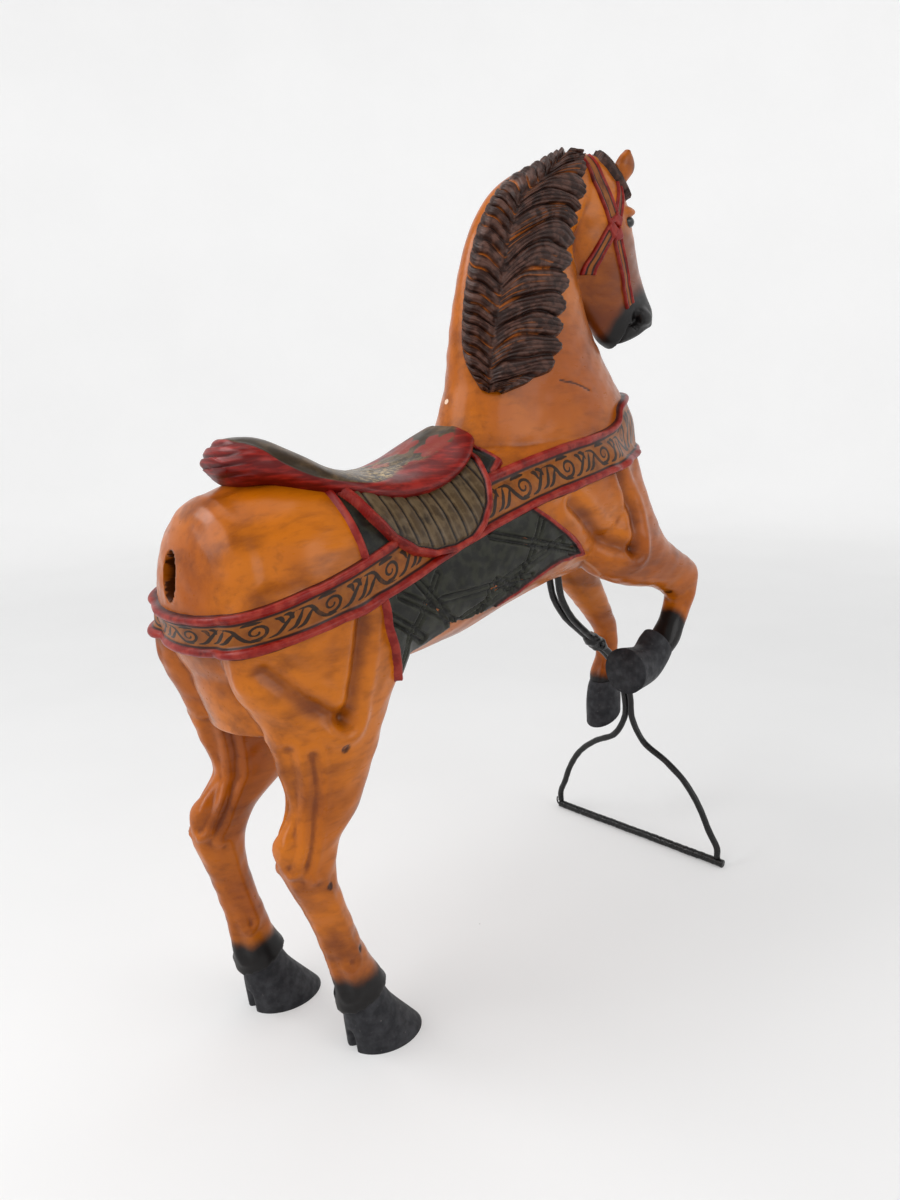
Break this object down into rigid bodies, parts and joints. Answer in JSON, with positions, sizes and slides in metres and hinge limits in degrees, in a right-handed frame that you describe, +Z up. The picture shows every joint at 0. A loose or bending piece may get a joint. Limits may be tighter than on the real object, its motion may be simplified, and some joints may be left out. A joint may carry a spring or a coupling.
{
  "type": "carousel horse",
  "caption": "Carved wooden carousel horse rearing on its hind hooves, with carved saddle, harness and mane, held up at the front by a bent iron rod stand.",
  "frame": {"origin": "middle of the object's footprint box, on the floor", "axes": "+X the way the horse faces, +Y its left side, +Z up"},
  "size_m": [0.9725, 0.3863, 1.213],
  "materials": {
    "carved_wood": "varnished honey-brown wood with painted harness",
    "stand_iron": "black paint, worn"
  },
  "bodies": {
    "root": {"carved_horse": "carved_wood", "stand_rod_right": "stand_iron", "stand_rod_left": "stand_iron", "stand_collar": "stand_iron", "stand_floor_bar": "stand_iron"}
  },
  "joints": []
}
